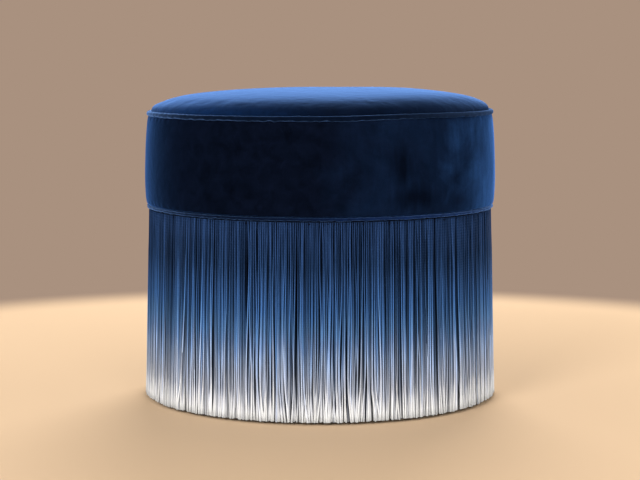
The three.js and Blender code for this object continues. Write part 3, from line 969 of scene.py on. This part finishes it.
# Where a cord's middle is: distance out, distance aside and height. t runs from 0 at its tip to 1 at the head.
def cordMiddle(cord, t):
    down = 1 - t
    width = 1 + (cord["gather"] - 1) * smoothStep(0, 0.12, down)
    width += (cord["fan"] - width) * smoothStep(0.86, 1.0, down)
    around = Vector((math.cos(cord["angle"]), math.sin(cord["angle"]), 0)) * cord["radius"] * mm
    drift = roundNoise(around + Vector((0, 0, t * 0.03)), 17, 9.7) * fringe["drift"] * down**1.6
    wave = cord["sway"] * math.sin(cord["phase"] + down * fullTurn * cord["swayPitch"]) * smoothStep(0, 0.15, down)
    splay = cord["splay"] * smoothStep(0.78, 1.1, down)
    aside = cord["off"] * (width - 1) + (cord["lean"] * down**1.3 + drift + wave + splay) * cord["ease"]
    out = cord["radius"] + cord["flare"] * down + cord["proud"] * smoothStep(0.02, 0.2, down)
    height = cord["tip"] + (fringe["headZ"] - cord["tip"]) * t
    return out, aside, height


def hangCords(rand):
    cords = []
    tufts = layTufts(rand)
    for row in fringe["rows"]:
        for tuft in tufts:
            width = (tuft["end"] - tuft["start"]) * row["radius"]
            count = max(1, round(width / row["pitch"] + rand.uniform(-0.3, 0.3)))
            for number in range(count):
                if rand.random() < row["missing"]:
                    continue
                share = (number + 0.5 + rand.uniform(-0.18, 0.18)) / count
                cords.append(drawCord(rand, tuft["start"] + (tuft["end"] - tuft["start"]) * share, row, tuft))
    return cords


def addFringe(material):
    cords = hangCords(random.Random(12))
    template = cordTemplate()
    perCord = len(template.vertices)
    for side, towards in quarters.items():
        middle = math.radians(towards)
        mine = [cord for cord in cords if math.cos(cord["angle"] - middle) >= math.sqrt(0.5)]
        bm = bmesh.new()
        for cord in mine:
            bm.from_mesh(template)
        toneAndShade = bm.verts.layers.float.new("toneAndShade")
        soak = bm.verts.layers.float.new("soak")
        for number, vert in enumerate(bm.verts):
            cord = mine[number // perCord]
            placeCordPoint(vert, cord)
            vert[toneAndShade] = cord["toneAndShade"]
            vert[soak] = cord["soak"]
        made = addObject("fringe" + side.capitalize(), bm, material)
        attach(made, "root")
        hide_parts("fringe_" + side)
    print("fringe hung:", len(cords), "cords")


def placeCordPoint(vert, cord):
    t = min(1, max(0, vert.co.z)) ** 1.35  # closer points towards the tip
    out, aside, height = cordMiddle(cord, t)
    thick = cord["thick"] * (1 + (fringe["frayed"] - 1) * smoothStep(0.82, 1.0, 1 - t))
    out += vert.co.x * thick
    aside += vert.co.y * thick
    place = Vector((out, aside, height)) * mm
    vert.co = Matrix.Rotation(cord["angle"], 3, "Z") @ place


head = {"inner": 214.4, "outer": 216.2, "bottom": 237.8, "top": 254, "lipOuter": 218.2, "lipTop": 240.3, "steps": 240}


def addHead(material):
    outline = [
        (head["inner"], head["bottom"]),
        (head["lipOuter"] - 0.8, head["bottom"]),
        (head["lipOuter"], head["bottom"] + 0.8),
        (head["lipOuter"], head["lipTop"] - 0.6),
        (head["lipOuter"] - 0.6, head["lipTop"]),
        (head["outer"], head["lipTop"]),
        (head["outer"], head["top"]),
        (head["inner"], head["top"]),
    ]
    made = addObject("fringeHead", spun(outline, head["steps"]), material)
    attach(made, "root")


# Linings and fillings

lining = {"radius": 214.0, "cloth": 0.7, "bottom": 5.5, "top": 254, "rows": 24, "steps": 240}
dust = {"radius": 211, "cloth": 0.5, "top": 5.5, "sag": 0.5, "rings": 22, "steps": 180, "staples": 40, "stapleAt": 204}
glides = {"reach": 175, "hole": 2.4}


def addLining(material):
    rows = lining["rows"]
    heights = [lining["bottom"] + (lining["top"] - lining["bottom"]) * row / rows for row in range(rows + 1)]
    bm = spun([(lining["radius"], height) for height in heights], lining["steps"], closed=False)
    made = addObject("drumLining", bm, material)
    thicken(made, lining["cloth"])
    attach(made, "root")
    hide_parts("drum_lining")


def addDustCover(material):
    outline = [(dust["radius"] * ring / dust["rings"], dust["top"] - dust["cloth"]) for ring in range(dust["rings"] + 1)]
    bm = spun(outline, dust["steps"], closed=False)
    for vert in bm.verts:
        place = vert.co
        reach = math.hypot(place.x, place.y) / mm
        nearStaples = smoothStep(dust["stapleAt"] - 30, dust["stapleAt"], reach)
        turn = math.atan2(place.y, place.x)
        pulls = (1 - math.cos(turn * dust["staples"])) / 2 * nearStaples * (1 - smoothStep(206, 211, reach))
        toGlide = min((place.xy - Vector(spot)).length for spot in glideSpots()) / mm
        free = smoothStep(14, 40, toGlide)
        swell = (0.5 + 0.5 * roundNoise(Vector((place.x, place.y, 0)), 90, 4.4)) * (1 - nearStaples)
        place.z -= (swell * dust["sag"] + pulls * 0.35) * free * mm
    made = addObject("dustCover", bm, material)
    wall = made.modifiers.new("cloth", "SOLIDIFY")
    wall.thickness = dust["cloth"] * mm * 0.9
    wall.offset = -1
    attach(made, "root")
    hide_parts("dust_cover")


def glideSpots():
    reach = glides["reach"] * mm * math.sqrt(0.5)
    return [(x * reach, y * reach) for x in (-1, 1) for y in (-1, 1)]


def addStaples(material):
    bm = bmesh.new()
    rand = random.Random(5)
    for number in range(dust["staples"]):
        made = bmesh.ops.create_cube(bm, size=1)["verts"]
        bmesh.ops.scale(bm, verts=made, vec=(0.6 * mm, 10 * mm, 0.5 * mm))
        slant = rand.uniform(-0.25, 0.25)
        bmesh.ops.rotate(bm, verts=made, cent=(0, 0, 0), matrix=Matrix.Rotation(slant, 3, "Z"))
        out = (dust["stapleAt"] + rand.uniform(-1.5, 1.5)) * mm
        bmesh.ops.translate(bm, verts=made, vec=(out, 0, (dust["top"] - dust["cloth"] - 0.25) * mm))
        turn = number / dust["staples"] * fullTurn
        bmesh.ops.rotate(bm, verts=made, cent=(0, 0, 0), matrix=Matrix.Rotation(turn, 3, "Z"))
    made = addObject("dustCoverStaples", bm, material, smooth=False)
    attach(made, "root")


def addFillings():
    foam = cutFoam()
    domeSteps = 14
    foamDome = dome(209.2, 359.0, 385.2, domeSteps)
    seat = addObject("seatFoam", spun([(0, 330), (213, 330), (213, 359.0)] + foamDome, 160, closed=False), foam)
    over = dome(212.6, 366.6, 393.2, domeSteps)
    under = dome(208.9, 359.4, 385.6, domeSteps)
    lens = over + [point for point in reversed(under) if point[1] > 363.8] + [(208.8, 363.8), (211.8, 363.8)]
    wadding = addObject("seatWadding", spun(lens, 160, closed=False), waddingFibre())
    rows = 12
    low, high = 250.0, 358.3
    face = [low + (high - low) * row / rows for row in range(rows + 1)]
    ring = [(218.0, low)] + [(stripRadius(height) - 1.6, height) for height in face]
    ring += [(213.3, high), (213.3, 254.3), (218.0, 254.3)]
    band = addObject("stripFoam", spun(ring, 160), foam)
    for piece, node, slot, fill in (
        (seat, "seat_foam", "foam", 0.9),
        (wadding, "seat_wadding", "wadding", 0.6),
        (band, "band_foam", "foam", 0.8),
    ):
        liftSeam(piece)
        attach(piece, "root")
        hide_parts(node)


def dome(radius, base, top, steps):
    points = []
    for step in range(steps + 1):
        turn = step / steps * math.pi / 2
        out = radius * math.cos(turn) if step < steps else 0
        points.append((out, base + (top - base) * math.sin(turn) ** 0.85))
    return points


# Finishes on the frame's own nodes

def finishFrame():
    finishes = {
        "plywood": birchPlywood(),
        "pine": planedPine(),
        "hardboard": pressedHardboard(),
        "glide_plastic": mouldedPlastic(),
        "zinc_steel": zincPlate(),
    }
    for subpart in frame["record"]["subparts"]:
        material = finishes.get(subpart["material_slot"])
        if material:
            frame["nodes"][subpart["node"]].material_slots[0].material = material


scene.view_settings.view_transform = "Standard"
addCamera()
addLamps()
addSky()
addCove()
print("camera, lamps and cove set")

finishFrame()
print("frame's own nodes finished")

addTopPanel(velvet(crownLook))
addStrip(velvet(velvetLook))
addPiping(topPiping, velvet(pipingLook))
addPiping(lowerPiping, velvet(paintedGlintLook))
print("velvet cut and piped")

addFringe(dyedCord())
addHead(wovenHeadPaintedShade())

addLining(blackCotton())
addDustCover(dustCloth())
addStaples(zincPlate())
addFillings()
print("linings and fillings in")
